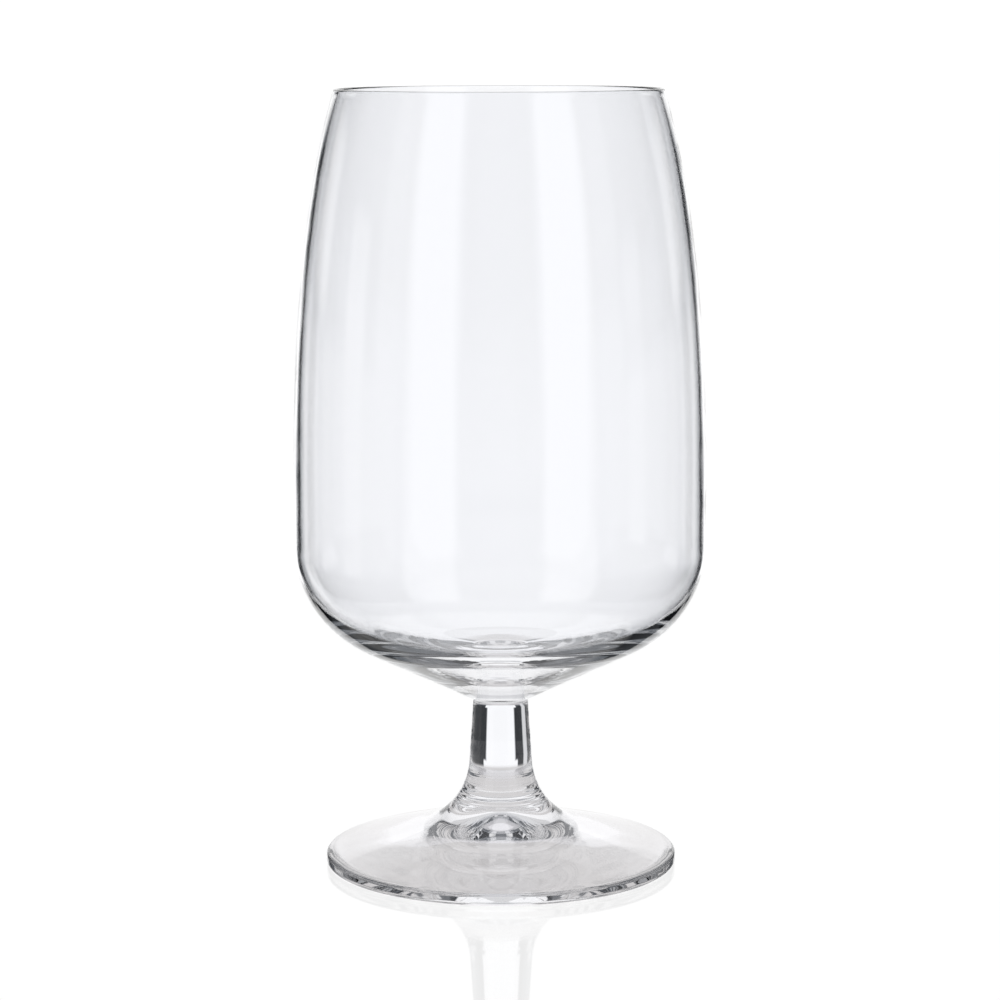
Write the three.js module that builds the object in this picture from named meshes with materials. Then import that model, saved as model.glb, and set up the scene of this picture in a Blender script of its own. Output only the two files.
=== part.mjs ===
// Stemmed tulip beer glass in clear soda-lime glass.
// Three pieces, each formed by itself and welded to the next one while hot: bowl, stem and foot.
// Millimetres and degrees, +Z up, origin on the table under the middle of the foot.

import * as THREE from 'three';

// Foot: a pressed disc whose upper face climbs to the stem, with a conical hollow underneath
const FOOT_DIAMETER = 75;
const FOOT_EDGE = 2.4; // height of the side, where the upper face would meet it
const FOOT_EDGE_ROUND = 0.8;
const FOOT_SLOPE_ANGLE = 15.9; // fall of the upper face towards the edge
const FOOT_HEIGHT = 13; // from the table to the weld with the stem
const HOLLOW_DIAMETER = 70; // the flat ring outside it stands on the table
const HOLLOW_SLOPE_ANGLE = 12; // climb of the hollow towards its crown
const CROWN_DIAMETER = 15; // the steeper middle of the hollow
const CROWN_SLOPE_ANGLE = 24;
const CROWN_FILLET = 14; // where the hollow turns up into the crown
const CROWN_ROUND = 6; // on top of the crown

// Stem: drawn with a slight taper, ending in a wide flare
const STEM_LENGTH = 22.4; // between its two welds
const STEM_TOP_DIAMETER = 11.7;
const STEM_TAPER_ANGLE = 3.8; // each side
const FLARE_RADIUS = 15.5; // runs through the weld, on to the foot

// Bowl: blown, with a thick floor, a thin wall and a fire-polished rim
const BOWL_HEIGHT = 129.6;
const COLLAR_DIAMETER = 25; // the steeper part of the underside, next to the stem
const COLLAR_RISE = 3.4;
const COLLAR_ROUND = 12;
const HEEL_SLOPE_ANGLE = 26; // climb of the underside, from the collar out to the belly
const HEEL_ROUND = 24.5; // between the underside and the belly
const BELLY_DIAMETER = 87.3;
const BELLY_HEIGHT = 47; // from the weld to where the wall starts to draw in
const BELLY_WALL = 1.3;
const RIM_DIAMETER = 69.3;
const RIM_LEAN_ANGLE = 16; // of the wall where it meets the rim, from upright
const RIM_WALL = 1.2;
const FLOOR_THICKNESS = 10.2; // above the weld, on the axis
const FLOOR_DISH_DIAMETER = 22;
const FLOOR_DISH_ROUND = 60;
const HEEL_DROP = 1.6; // the inner heel corner lies this far below the outer one, as the floor is flatter
const HEEL_INNER_ROUND = 21.5;

// Fineness of the curved surfaces
const SEGMENTS = 64; // around the axis
const SAG = 0.04; // how far a facet may fall short of its arc
const WALL_STEPS = 9; // along the curve from the belly to the rim

// Heights and radii that follow
const bowlWeld = FOOT_HEIGHT + STEM_LENGTH;
const rimTop = bowlWeld + BOWL_HEIGHT;
const footRadius = FOOT_DIAMETER / 2;
const stemTopRadius = STEM_TOP_DIAMETER / 2;

const slopeOf = (degrees) => Math.tan(THREE.MathUtils.degToRad(degrees));
const at = (radius, height) => new THREE.Vector2(radius, height);

// Points of an arc about a centre, from its start through an angle
function arc(centre, start, turn) {
  const facetTurn = 2 * Math.acos(1 - SAG / start.distanceTo(centre));
  const steps = Math.ceil(Math.abs(turn) / facetTurn);
  return Array.from({ length: steps + 1 }, (_, k) => start.clone().rotateAround(centre, (turn * k) / steps));
}

// An outline through corners of the form [point, round]. Where round is given, an arc of that radius
// that touches both straight runs takes the corner's place, as far as the runs are long enough for it.
function roundedOutline(corners) {
  return corners.flatMap(([corner, round], i) => {
    if (!round) return [corner];
    const runTo = ([neighbour, neighbourRound]) => ({
      way: neighbour.clone().sub(corner).normalize(),
      room: neighbour.distanceTo(corner) * (neighbourRound ? 0.5 : 1),
    });
    const back = runTo(corners[i - 1]);
    const ahead = runTo(corners[i + 1]);
    const halfAngle = Math.acos(back.way.dot(ahead.way)) / 2;
    const reach = Math.min(round / Math.tan(halfAngle), back.room, ahead.room);
    const toCentre = back.way.clone().add(ahead.way).setLength(reach / Math.cos(halfAngle));
    const centre = corner.clone().add(toCentre);
    const start = corner.clone().addScaledVector(back.way, reach);
    const turn = Math.sign(ahead.way.cross(back.way)) * (Math.PI - 2 * halfAngle);
    return arc(centre, start, turn);
  });
}

// The two parts of a falling outline, above and below a height, both with the point on the cut
function cutAtHeight(outline, height) {
  const next = outline.findIndex((point) => point.y < height);
  const [before, after] = [outline[next - 1], outline[next]];
  const cut = before.clone().lerp(after, (before.y - height) / (before.y - after.y));
  const above = outline.slice(0, next).filter((point) => point.y > height);
  return { above: [...above, cut], below: [cut, ...outline.slice(next)] };
}

// The wall's curve from the straight belly up to the rim, upright at the belly and leaning in at the rim
function wallCurve(bellyRadius, bellyTop, rimRadius, rimHeight) {
  const control = at(bellyRadius, rimHeight - (bellyRadius - rimRadius) / slopeOf(RIM_LEAN_ANGLE));
  const curve = new THREE.QuadraticBezierCurve(at(bellyRadius, bellyTop), control, at(rimRadius, rimHeight));
  return curve.getPoints(WALL_STEPS);
}

// Stem and foot share one flowing outline, which the weld between them cuts in two
function legOutlines() {
  const taper = slopeOf(STEM_TAPER_ANGLE);
  const fall = slopeOf(FOOT_SLOPE_ANGLE);
  const flareRadius = (stemTopRadius + taper * (bowlWeld - FOOT_EDGE - fall * footRadius)) / (1 - taper * fall);
  const flareCorner = at(flareRadius, FOOT_EDGE + fall * (footRadius - flareRadius));
  const outline = roundedOutline([
    [at(stemTopRadius, bowlWeld)],
    [flareCorner, FLARE_RADIUS],
    [at(footRadius, FOOT_EDGE), FOOT_EDGE_ROUND],
    [at(footRadius, 0), FOOT_EDGE_ROUND],
    [at(HOLLOW_DIAMETER / 2, 0)],
  ]);
  return cutAtHeight(outline, FOOT_HEIGHT);
}

function stemOutline() {
  const { above } = legOutlines();
  return [at(0, bowlWeld), ...above, at(0, FOOT_HEIGHT)];
}

function footOutline() {
  const { below } = legOutlines();
  const hollowRadius = HOLLOW_DIAMETER / 2;
  const turnUp = at(CROWN_DIAMETER / 2, slopeOf(HOLLOW_SLOPE_ANGLE) * (hollowRadius - CROWN_DIAMETER / 2));
  const crownAngle = THREE.MathUtils.degToRad(CROWN_SLOPE_ANGLE);
  const topRadius = CROWN_ROUND * Math.sin(crownAngle);
  const topEdge = at(topRadius, turnUp.y + slopeOf(CROWN_SLOPE_ANGLE) * (turnUp.x - topRadius));
  const topCentre = at(0, topEdge.y - CROWN_ROUND * Math.cos(crownAngle));
  const hollow = roundedOutline([[at(hollowRadius, 0)], [turnUp, CROWN_FILLET], [topEdge]]);
  const top = arc(topCentre, topEdge, crownAngle);
  const apex = at(0, topCentre.y + CROWN_ROUND);
  return [at(0, FOOT_HEIGHT), ...below, ...hollow.slice(1), ...top.slice(1, -1), apex];
}

function bowlOutline() {
  const outerRadius = BELLY_DIAMETER / 2;
  const innerRadius = outerRadius - BELLY_WALL;
  const bellyTop = bowlWeld + BELLY_HEIGHT;
  const collar = at(COLLAR_DIAMETER / 2, bowlWeld + COLLAR_RISE);
  const heel = at(outerRadius, collar.y + slopeOf(HEEL_SLOPE_ANGLE) * (outerRadius - collar.x));
  const floor = at(FLOOR_DISH_DIAMETER / 2, bowlWeld + FLOOR_THICKNESS);

  const outside = roundedOutline([
    [at(0, bowlWeld)],
    [at(stemTopRadius, bowlWeld)],
    [collar, COLLAR_ROUND],
    [heel, HEEL_ROUND],
    [at(outerRadius, bellyTop)],
  ]);
  const inside = roundedOutline([
    [at(innerRadius, bellyTop)],
    [at(innerRadius, heel.y - HEEL_DROP), HEEL_INNER_ROUND],
    [floor, FLOOR_DISH_ROUND],
    [at(0, floor.y)],
  ]);

  // The rim is the edge of the wall, melted round
  const rimRadius = RIM_DIAMETER / 2;
  const rimCentre = at(rimRadius - RIM_WALL / 2, rimTop - RIM_WALL / 2);
  const rim = arc(rimCentre, at(rimRadius, rimCentre.y), Math.PI);
  const outerWall = wallCurve(outerRadius, bellyTop, rimRadius, rimCentre.y);
  const innerWall = wallCurve(innerRadius, bellyTop, rimRadius - RIM_WALL, rimCentre.y).reverse();
  return [...outside, ...outerWall.slice(1), ...rim.slice(1, -1), ...innerWall, ...inside.slice(1)];
}

// A solid of revolution about +Z, from an outline of (radius, height) points
function turned(name, outline, material) {
  const geometry = new THREE.LatheGeometry(outline, SEGMENTS);
  geometry.rotateX(Math.PI / 2);
  const mesh = new THREE.Mesh(geometry, material);
  mesh.name = name;
  return mesh;
}

function clearGlass(tint) {
  return new THREE.MeshStandardMaterial({
    color: tint,
    roughness: 0.03,
    metalness: 0,
    transparent: true,
    opacity: 0.35,
  });
}

const glass = new THREE.Group();
glass.name = 'tulip_beer_glass';
glass.add(
  turned('bowl', bowlOutline(), clearGlass(0xf2f3f6)),
  turned('stem', stemOutline().reverse(), clearGlass(0xf0f1f3)),
  turned('foot', footOutline().reverse(), clearGlass(0xeceded)),
);

export default glass;
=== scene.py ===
"""Looks of the stemmed tulip beer glass: clear glass on a white table, in bright-field studio light."""

import math

import bpy
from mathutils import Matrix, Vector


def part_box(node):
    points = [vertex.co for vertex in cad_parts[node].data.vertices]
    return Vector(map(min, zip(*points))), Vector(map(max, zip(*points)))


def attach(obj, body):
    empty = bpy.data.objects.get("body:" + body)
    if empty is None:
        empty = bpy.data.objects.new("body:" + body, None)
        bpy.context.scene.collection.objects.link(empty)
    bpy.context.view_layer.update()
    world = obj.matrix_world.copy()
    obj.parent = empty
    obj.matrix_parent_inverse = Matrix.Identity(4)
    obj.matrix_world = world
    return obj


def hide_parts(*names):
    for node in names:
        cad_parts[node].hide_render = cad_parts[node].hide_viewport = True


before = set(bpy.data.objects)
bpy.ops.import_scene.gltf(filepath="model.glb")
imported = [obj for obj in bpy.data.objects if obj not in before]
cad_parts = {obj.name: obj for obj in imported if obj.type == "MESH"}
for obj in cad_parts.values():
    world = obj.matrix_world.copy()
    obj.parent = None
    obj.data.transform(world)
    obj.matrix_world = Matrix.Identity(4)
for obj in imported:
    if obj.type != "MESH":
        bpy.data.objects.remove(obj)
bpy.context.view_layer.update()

MM = 0.001

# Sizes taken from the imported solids, in metres
bowl_low, bowl_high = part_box("bowl")
stem_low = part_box("stem")[0]
foot_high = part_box("foot")[1]
BELLY_RADIUS = bowl_high.x
FOOT_RADIUS = foot_high.x
RIM_TOP = bowl_high.z
BOWL_WELD = bowl_low.z
FOOT_WELD = stem_low.z

# Foot
FOOT_EDGE = 2.4 * MM
FOOT_EDGE_ROUND = 0.8 * MM
FOOT_SLOPE = math.radians(15.9)
HOLLOW_RADIUS = 35 * MM
HOLLOW_SLOPE = math.radians(12)
CROWN_RADIUS = 7.5 * MM
CROWN_SLOPE = math.radians(24)
CROWN_FILLET = 14 * MM
CROWN_ROUND = 6 * MM

# Stem
STEM_TOP_RADIUS = 5.85 * MM
STEM_TAPER = math.radians(3.8)
FLARE_RADIUS = 15.5 * MM

# Bowl
COLLAR_RADIUS = 12.5 * MM
COLLAR_RISE = 3.4 * MM
COLLAR_ROUND = 12 * MM
HEEL_SLOPE = math.radians(26)
HEEL_ROUND = 24.5 * MM
BELLY_TOP = BOWL_WELD + 47 * MM
BELLY_WALL = 1.3 * MM
RIM_RADIUS = 34.65 * MM
RIM_LEAN = math.radians(16)
RIM_WALL = 1.2 * MM
FLOOR_THICKNESS = 10.2 * MM
FLOOR_DISH_RADIUS = 11 * MM
FLOOR_DISH_ROUND = 60 * MM
HEEL_DROP = 1.6 * MM
HEEL_INNER_ROUND = 21.5 * MM

# Fine rings left by the forming tools, between two radii
FLARE_RINGS = {"inner": 7.5 * MM, "outer": 11.5 * MM, "height": 0.025 * MM, "pitch": 1.1 * MM}
FLOOR_RINGS = {"inner": 5 * MM, "outer": 30 * MM, "height": 0.003 * MM, "pitch": 2.4 * MM}

# Fineness of the visual meshes
SEGMENTS = 224
ARC_STEP = math.radians(4)
POINT_SPACING = 1.2 * MM
POINTS_PER_RING = 8
WALL_STEPS = 56

# Clear glass: its tint, and faint upright cords in it that are darker and paler by these factors
GLASS_IOR = 1.5
TINTS = {"bowl": (0.975, 0.98, 1.0), "stem": (0.95, 0.957, 0.985), "foot": (0.945, 0.942, 0.965)}
CORD_TONES = (0.992, 1.006)
CORD_SCALE = 60
CORD_DETAIL = 2
CORD_STRETCH = (1, 1, 0.25)

# Slow waves on the faces of the glass
WAVES = {"bowl": 0.025 * MM, "stem": 0.03 * MM, "foot": 0.03 * MM}
WAVE_SCALE = 90
WAVE_DETAIL = 1

# White table, with painted shade under the glass and close behind it: a fixed greyer, warmer emission
# there in place of the glass's shadow
TABLE_SIDE = 12
TABLE_DROP = 0.2 * MM
TABLE_GLOW = 1.0
TABLE_GLOSS = 0.17
TABLE_ROUGHNESS = 0.04
SHADE_CENTRE = (0, 7 * MM, 0)
SHADE_REACH = (35 * MM, 44 * MM, 1)
SHADE_FADE = (0.9, 1.15)
SHADE_COLOUR = (0.7, 0.685, 0.675)

# Camera: measured from the ellipses of the rim and the foot
CAMERA_DISTANCE = 0.661
CAMERA_HEIGHT = 0.1784
CAMERA_PITCH = math.radians(8.61)
CAMERA_ROLL = math.radians(0.15)
SENSOR = 36
FOCAL_LENGTH = 113.4


def arc(centre, start, turn, spacing=POINT_SPACING):
    """Points of an arc about a centre, from its start through an angle."""
    dr, dz = start[0] - centre[0], start[1] - centre[1]
    step = min(ARC_STEP, spacing / math.hypot(dr, dz))
    steps = max(2, math.ceil(abs(turn) / step))
    points = []
    for k in range(steps + 1):
        a = turn * k / steps
        points.append((
            centre[0] + dr * math.cos(a) - dz * math.sin(a),
            centre[1] + dr * math.sin(a) + dz * math.cos(a),
        ))
    return points


def rounded_outline(corners, spacing=POINT_SPACING):
    """An outline through corners (radius, height, round), with an arc in place of each rounded corner."""
    outline = []
    for i, (r, z, round_) in enumerate(corners):
        if not round_:
            outline.append((r, z))
            continue
        ways = []
        rooms = []
        for other in (corners[i - 1], corners[i + 1]):
            length = math.hypot(other[0] - r, other[1] - z)
            ways.append(((other[0] - r) / length, (other[1] - z) / length))
            rooms.append(length * (0.5 if other[2] else 1))
        (br, bz), (ar, az) = ways
        half = math.acos(br * ar + bz * az) / 2
        reach = min(round_ / math.tan(half), *rooms)
        middle = math.hypot(br + ar, bz + az)
        out = reach / math.cos(half) / middle
        centre = (r + (br + ar) * out, z + (bz + az) * out)
        start = (r + br * reach, z + bz * reach)
        turn = math.copysign(math.pi - 2 * half, ar * bz - az * br)
        outline += arc(centre, start, turn, spacing)
    return outline


def wall_curve(belly_radius, rim_radius, rim_height):
    """The wall from the belly to the rim: upright at the belly, leaning in at the rim."""
    bend = rim_height - (belly_radius - rim_radius) / math.tan(RIM_LEAN)
    points = []
    for k in range(WALL_STEPS + 1):
        t = k / WALL_STEPS
        r = belly_radius + (rim_radius - belly_radius) * t * t
        z = BELLY_TOP * (1 - t) ** 2 + 2 * bend * t * (1 - t) + rim_height * t * t
        points.append((r, z))
    return points


def filled_in(outline, spacing=POINT_SPACING):
    """The same outline with extra points on its long straight runs."""
    points = [outline[0]]
    for (r0, z0), (r1, z1) in zip(outline, outline[1:]):
        steps = max(1, math.ceil(math.hypot(r1 - r0, z1 - z0) / spacing))
        points += [(r0 + (r1 - r0) * k / steps, z0 + (z1 - z0) * k / steps) for k in range(1, steps + 1)]
    return points


def ringed(outline, inner, outer, height, pitch):
    """The same outline with fine waves across it between two radii, highest midway."""
    points = [outline[0]]
    along = 0
    for before, (r, z), after in zip(outline, outline[1:], outline[2:]):
        along += math.hypot(r - before[0], z - before[1])
        dr, dz = after[0] - before[0], after[1] - before[1]
        part = min(1, max(0, (r - inner) / (outer - inner)))
        wave = height * math.sin(math.pi * part) * math.sin(2 * math.pi * along / pitch)
        wave /= math.hypot(dr, dz)
        points.append((r + dz * wave, z - dr * wave))
    return points + [outline[-1]]


def leg_outline():
    """Stem and foot in one flowing outline, from the bowl's weld down to the hollow under the foot."""
    taper = math.tan(STEM_TAPER)
    fall = math.tan(FOOT_SLOPE)
    flare_r = (STEM_TOP_RADIUS + taper * (BOWL_WELD - FOOT_EDGE - fall * FOOT_RADIUS)) / (1 - taper * fall)
    flare_z = FOOT_EDGE + fall * (FOOT_RADIUS - flare_r)
    return rounded_outline([
        (STEM_TOP_RADIUS, BOWL_WELD, 0),
        (flare_r, flare_z, FLARE_RADIUS),
        (FOOT_RADIUS, FOOT_EDGE, FOOT_EDGE_ROUND),
        (FOOT_RADIUS, 0, FOOT_EDGE_ROUND),
        (HOLLOW_RADIUS, 0, 0),
    ], FLARE_RINGS["pitch"] / POINTS_PER_RING)


def cut_at(outline, height):
    """The parts of a falling outline above and below a height, both with the point on the cut."""
    k = next(i for i, p in enumerate(outline) if p[1] < height)
    (r0, z0), (r1, z1) = outline[k - 1], outline[k]
    cut = (r0 + (r1 - r0) * (z0 - height) / (z0 - z1), height)
    return outline[:k] + [cut], [cut] + outline[k:]


def bowl_outline():
    """Outside, rim and inside of the bowl, from the weld on the axis to the middle of its floor."""
    inner = BELLY_RADIUS - BELLY_WALL
    collar_z = BOWL_WELD + COLLAR_RISE
    heel_z = collar_z + math.tan(HEEL_SLOPE) * (BELLY_RADIUS - COLLAR_RADIUS)
    floor_z = BOWL_WELD + FLOOR_THICKNESS
    fine = FLOOR_RINGS["pitch"] / POINTS_PER_RING
    outside = rounded_outline([
        (STEM_TOP_RADIUS, BOWL_WELD, 0),
        (COLLAR_RADIUS, collar_z, COLLAR_ROUND),
        (BELLY_RADIUS, heel_z, HEEL_ROUND),
        (BELLY_RADIUS, BELLY_TOP, 0),
    ])
    inside = rounded_outline([
        (inner, BELLY_TOP, 0),
        (inner, heel_z - HEEL_DROP, HEEL_INNER_ROUND),
        (FLOOR_DISH_RADIUS, floor_z, FLOOR_DISH_ROUND),
        (0, floor_z, 0),
    ], fine)
    inside = filled_in(inside[:2])[:-1] + ringed(filled_in(inside[1:], fine), **FLOOR_RINGS)
    rim_z = RIM_TOP - RIM_WALL / 2
    rim = arc((RIM_RADIUS - RIM_WALL / 2, rim_z), (RIM_RADIUS, rim_z), math.pi)
    outer_wall = wall_curve(BELLY_RADIUS, RIM_RADIUS, rim_z)
    inner_wall = wall_curve(inner, RIM_RADIUS - RIM_WALL, rim_z)[::-1]
    return filled_in(outside)[:-1] + outer_wall[:-1] + rim[:-1] + inner_wall[:-1] + inside


def hollow_outline():
    """The hollow under the foot, from its edge to the axis: a shallow cone, then a steeper round crown."""
    step_z = math.tan(HOLLOW_SLOPE) * (HOLLOW_RADIUS - CROWN_RADIUS)
    top_r = CROWN_ROUND * math.sin(CROWN_SLOPE)
    top_z = step_z + math.tan(CROWN_SLOPE) * (CROWN_RADIUS - top_r)
    cone = rounded_outline([
        (HOLLOW_RADIUS, 0, 0),
        (CROWN_RADIUS, step_z, CROWN_FILLET),
        (top_r, top_z, 0),
    ])
    centre_z = top_z - CROWN_ROUND * math.cos(CROWN_SLOPE)
    top = arc((0, centre_z), (top_r, top_z), CROWN_SLOPE)
    return filled_in(cone)[1:] + top[1:-1] + [(0, centre_z + CROWN_ROUND)]


def turned(name, outline, weld_rows=()):
    """A closed surface of revolution about +Z.

    The rows of faces whose numbers are in weld_rows are hidden welds.
    """
    verts = []
    rings = []
    for r, z in outline:
        if r < 1e-9:
            rings.append([len(verts)] * SEGMENTS)
            verts.append((0, 0, z))
            continue
        rings.append(list(range(len(verts), len(verts) + SEGMENTS)))
        for j in range(SEGMENTS):
            a = 2 * math.pi * j / SEGMENTS
            verts.append((r * math.cos(a), r * math.sin(a), z))
    faces = []
    welds = []
    for i, (low, high) in enumerate(zip(rings, rings[1:])):
        for j in range(SEGMENTS):
            k = (j + 1) % SEGMENTS
            face = [low[j], low[k], high[k], high[j]]
            face = [v for n, v in enumerate(face) if v not in face[:n]]
            faces.append(face)
            welds.append(i in weld_rows)
    mesh = bpy.data.meshes.new(name)
    mesh.from_pydata(verts, [], faces)
    mesh.polygons.foreach_set("use_smooth", [True] * len(faces))
    mesh.polygons.foreach_set("material_index", [int(w) for w in welds])
    mesh.update()
    piece = bpy.data.objects.new(name, mesh)
    bpy.context.scene.collection.objects.link(piece)
    return piece


def new_material(name):
    material = bpy.data.materials.new(name)
    material.use_nodes = True
    return material, material.node_tree.nodes, material.node_tree.links


def math_node(nodes, links, operation, *values):
    node = nodes.new("ShaderNodeMath")
    node.operation = operation
    for i, value in enumerate(values):
        if isinstance(value, (int, float)):
            node.inputs[i].default_value = value
        else:
            links.new(value, node.inputs[i])
    return node.outputs[0]


def vector_node(nodes, links, operation, vector, constant):
    node = nodes.new("ShaderNodeVectorMath")
    node.operation = operation
    links.new(vector, node.inputs[0])
    node.inputs[1].default_value = constant
    return node.outputs["Vector"]


def ramp_node(nodes, links, value, zero_at, one_at):
    node = nodes.new("ShaderNodeMapRange")
    node.interpolation_type = "SMOOTHSTEP"
    links.new(value, node.inputs["Value"])
    node.inputs["From Min"].default_value = zero_at
    node.inputs["From Max"].default_value = one_at
    return node.outputs["Result"]


def noise_node(nodes, links, place, scale, detail):
    node = nodes.new("ShaderNodeTexNoise")
    node.inputs["Scale"].default_value = scale
    node.inputs["Detail"].default_value = detail
    links.new(place, node.inputs["Vector"])
    return node.outputs["Fac"]


def clear_glass(name, tint, waves):
    """Clear glass with faint cords in it and the slow waves that hot forming leaves on its faces."""
    material, nodes, links = new_material(name)
    shader = nodes["Principled BSDF"]
    shader.inputs["Base Color"].default_value = (*tint, 1)
    shader.inputs["Roughness"].default_value = 0
    shader.inputs["IOR"].default_value = GLASS_IOR
    shader.inputs["Transmission Weight"].default_value = 1
    place = nodes.new("ShaderNodeTexCoord").outputs["Object"]

    stretched = nodes.new("ShaderNodeMapping")
    stretched.inputs["Scale"].default_value = CORD_STRETCH
    links.new(place, stretched.inputs["Vector"])
    cords = noise_node(nodes, links, stretched.outputs[0], CORD_SCALE, CORD_DETAIL)
    colours = nodes.new("ShaderNodeValToRGB")
    for stop, tone in zip(colours.color_ramp.elements, CORD_TONES):
        stop.color = (*[min(1, c * tone) for c in tint], 1)
    links.new(cords, colours.inputs["Fac"])
    links.new(colours.outputs["Color"], shader.inputs["Base Color"])

    bump = nodes.new("ShaderNodeBump")
    bump.inputs["Strength"].default_value = 1
    bump.inputs["Distance"].default_value = waves
    links.new(noise_node(nodes, links, place, WAVE_SCALE, WAVE_DETAIL), bump.inputs["Height"])
    links.new(bump.outputs["Normal"], shader.inputs["Normal"])
    return material


def hidden_weld():
    material, nodes, links = new_material("hidden_weld")
    nodes.remove(nodes["Principled BSDF"])
    clear = nodes.new("ShaderNodeBsdfTransparent")
    links.new(clear.outputs[0], nodes["Material Output"].inputs["Surface"])
    return material


def glass_outlines():
    """Outline of each piece, from the axis to the axis, and the rows of it that are hidden welds."""
    upper, lower = cut_at(leg_outline(), FOOT_WELD)
    bowl = bowl_outline()
    stem = ringed(filled_in(upper), **FLARE_RINGS)[::-1]
    foot = (filled_in(lower) + hollow_outline())[::-1]
    return {
        "bowl": ([(0, BOWL_WELD)] + bowl, [0]),
        "stem": ([(0, FOOT_WELD)] + stem + [(0, BOWL_WELD)], [0, len(stem)]),
        "foot": (foot + [(0, FOOT_WELD)], [len(foot) - 1]),
    }


def build_glass():
    weld = hidden_weld()
    for node, (outline, weld_rows) in glass_outlines().items():
        piece = turned("clear_" + node, outline, weld_rows)
        piece.data.materials.append(clear_glass(node + "_glass", TINTS[node], WAVES[node]))
        piece.data.materials.append(weld)
        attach(piece, "root")
        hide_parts(node)


def build_floor():
    half = TABLE_SIDE / 2
    corners = [(-half, -half), (half, -half), (half, half), (-half, half)]
    mesh = bpy.data.meshes.new("table")
    mesh.from_pydata([(x, y, -TABLE_DROP) for x, y in corners], [], [(0, 1, 2, 3)])
    table = bpy.data.objects.new("table", mesh)
    bpy.context.scene.collection.objects.link(table)
    material, nodes, links = new_material("white_table")
    nodes.remove(nodes["Principled BSDF"])
    glow = nodes.new("ShaderNodeEmission")
    glow.inputs["Strength"].default_value = TABLE_GLOW
    gloss = nodes.new("ShaderNodeBsdfGlossy")
    gloss.inputs["Color"].default_value = (1, 1, 1, 1)
    gloss.inputs["Roughness"].default_value = TABLE_ROUGHNESS
    open_table = nodes.new("ShaderNodeMixShader")
    open_table.inputs[0].default_value = TABLE_GLOSS
    links.new(glow.outputs[0], open_table.inputs[1])
    links.new(gloss.outputs[0], open_table.inputs[2])

    # Through the glass only the round of painted shade shows, and the studio shows past it
    shade = nodes.new("ShaderNodeEmission")
    shade.inputs["Color"].default_value = (*SHADE_COLOUR, 1)
    past = nodes.new("ShaderNodeBsdfTransparent")
    place = nodes.new("ShaderNodeTexCoord").outputs["Object"]
    off_centre = vector_node(nodes, links, "SUBTRACT", place, SHADE_CENTRE)
    scaled = vector_node(nodes, links, "DIVIDE", off_centre, SHADE_REACH)
    distance = nodes.new("ShaderNodeVectorMath")
    distance.operation = "LENGTH"
    links.new(scaled, distance.inputs[0])
    outside = ramp_node(nodes, links, distance.outputs["Value"], *SHADE_FADE)
    under_glass = nodes.new("ShaderNodeMixShader")
    links.new(outside, under_glass.inputs[0])
    links.new(shade.outputs[0], under_glass.inputs[1])
    links.new(past.outputs[0], under_glass.inputs[2])

    mix = nodes.new("ShaderNodeMixShader")
    path = nodes.new("ShaderNodeLightPath")
    links.new(path.outputs["Is Camera Ray"], mix.inputs[0])
    links.new(under_glass.outputs[0], mix.inputs[1])
    links.new(open_table.outputs[0], mix.inputs[2])
    links.new(mix.outputs[0], nodes["Material Output"].inputs["Surface"])
    mesh.materials.append(material)


# Studio light, as panels of (bearing, half width, lowest, highest, soft edge, strength), in degrees.
# Bearing 0 is behind the glass and 90 to its right, seen from the camera.
ALL_ROUND = 200
DARK = 0.03
DARK_COLOUR = (0.8, 0.88, 1.0)
WHITE_FROM = 0.5
BACKDROP_GLOW = 1.05


def both_sides(bearing, *panel):
    return [(bearing, *panel), (-bearing, *panel)]


PANELS = [
    # Bright field behind the glass
    (0, 20.5, -33, 24, 1.5, 1.05),
    (0, 25, -33, -20, 1, 1.05),
    (0, 23.5, -7.5, -2.8, 1, 1.05),
    (0, 26, 3, 24, 1.5, 1.0),
    (0, 14, -44, -30, 3, 0.95),
    (0, 30, 20, 62, 4, 0.75),
    # Paler strips beside it, past the dark fields that draw the edges of the glass
    *both_sides(48, 12, -12, -1, 4, 0.6),
    *both_sides(54, 9, -1, 11, 3, 0.7),
    *both_sides(70, 36, 0, 46, 4, 0.14),
    *both_sides(90, 30, -12, -1, 2, 0.42),
    # Behind the glass, seen from its right side and from its front right
    (-90, 7.5, -14, 9, 2, 0.65),
    (-45, 7, -47, -12, 2, 0.75),
    (-45, 22, -56, -32, 9, 0.5),
    # Soft boxes beside the camera, which gleam on the front of the bowl
    *both_sides(144, 39, -11, 62, 4, 0.4),
    *both_sides(140, 16, -35, 40, 4, 0.8),
    # All round: a dim belt below, the table's white under it, and the ceiling
    (0, ALL_ROUND, -47, -31, 2, 0.17),
    (0, ALL_ROUND, -91, -45, 4, 0.72),
    (0, ALL_ROUND, 58, 91, 4, 0.6),
]


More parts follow.
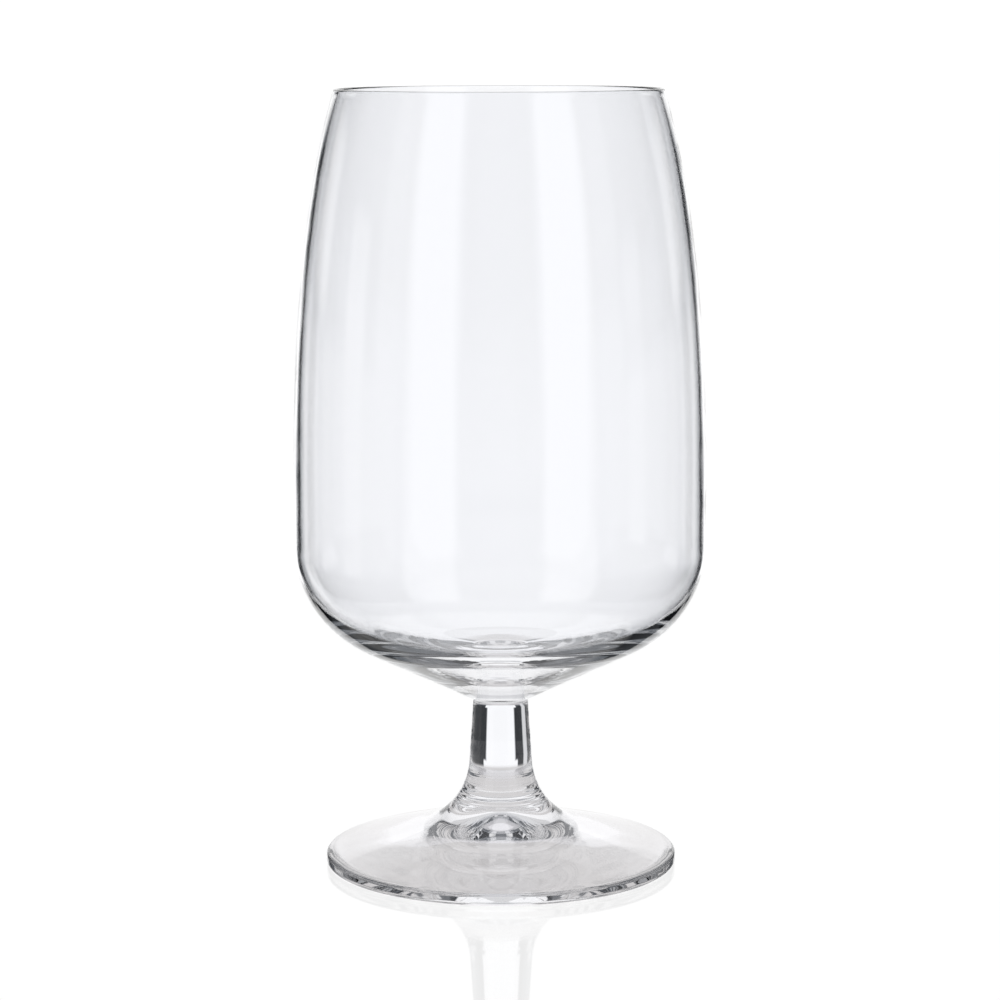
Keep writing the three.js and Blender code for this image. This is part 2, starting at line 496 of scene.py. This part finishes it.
def build_studio():
    world = bpy.data.worlds.new("studio")
    bpy.context.scene.world = world
    world.use_nodes = True
    nodes = world.node_tree.nodes
    links = world.node_tree.links
    nodes.clear()
    way = nodes.new("ShaderNodeTexCoord").outputs["Generated"]
    split = nodes.new("ShaderNodeSeparateXYZ")
    links.new(way, split.inputs[0])
    x, y, z = split.outputs
    bearing = math_node(nodes, links, "ARCTAN2", x, y)
    height = math_node(nodes, links, "ARCSINE", z)
    light = None
    for centre, half, low, high, soft, strength in PANELS:
        off = math_node(nodes, links, "SUBTRACT", bearing, math.radians(centre))
        off = math_node(nodes, links, "WRAP", off, math.pi, -math.pi)
        off = math_node(nodes, links, "ABSOLUTE", off)
        s = math.radians(soft)
        across = ramp_node(nodes, links, off, math.radians(half) + s, math.radians(half) - s)
        above = ramp_node(nodes, links, height, math.radians(low) - s, math.radians(low) + s)
        below = ramp_node(nodes, links, height, math.radians(high) + s, math.radians(high) - s)
        mask = math_node(nodes, links, "MULTIPLY", across, above)
        mask = math_node(nodes, links, "MULTIPLY", mask, below)
        mask = math_node(nodes, links, "MULTIPLY", mask, strength)
        light = mask if light is None else math_node(nodes, links, "MAXIMUM", light, mask)
    light = math_node(nodes, links, "MAXIMUM", light, DARK)
    seen = nodes.new("ShaderNodeBackground")
    seen.inputs["Color"].default_value = (1, 1, 1, 1)
    seen.inputs["Strength"].default_value = BACKDROP_GLOW
    studio = nodes.new("ShaderNodeBackground")
    tones = nodes.new("ShaderNodeValToRGB")
    tones.color_ramp.elements[0].color = (*DARK_COLOUR, 1)
    tones.color_ramp.elements[1].color = (1, 1, 1, 1)
    tones.color_ramp.elements[1].position = WHITE_FROM
    links.new(light, tones.inputs["Fac"])
    links.new(tones.outputs["Color"], studio.inputs["Color"])
    links.new(light, studio.inputs["Strength"])
    mix = nodes.new("ShaderNodeMixShader")
    path = nodes.new("ShaderNodeLightPath")
    links.new(path.outputs["Is Camera Ray"], mix.inputs[0])
    links.new(studio.outputs[0], mix.inputs[1])
    links.new(seen.outputs[0], mix.inputs[2])
    out = nodes.new("ShaderNodeOutputWorld")
    links.new(mix.outputs[0], out.inputs["Surface"])


def build_camera():
    data = bpy.data.cameras.new("camera")
    data.sensor_width = SENSOR
    data.lens = FOCAL_LENGTH
    camera = bpy.data.objects.new("camera", data)
    camera.location = (0, -CAMERA_DISTANCE, CAMERA_HEIGHT)
    camera.rotation_mode = "ZXY"
    camera.rotation_euler = (math.pi / 2 - CAMERA_PITCH, 0, -CAMERA_ROLL)
    bpy.context.scene.collection.objects.link(camera)
    bpy.context.scene.camera = camera


def set_colours():
    scene = bpy.context.scene
    scene.view_settings.view_transform = "Standard"
    scene.cycles.max_bounces = 40
    scene.cycles.transmission_bounces = 40
    scene.cycles.glossy_bounces = 24
    scene.cycles.transparent_max_bounces = 24
    scene.cycles.use_denoising = True


build_camera()
build_glass()
build_floor()
build_studio()
set_colours()
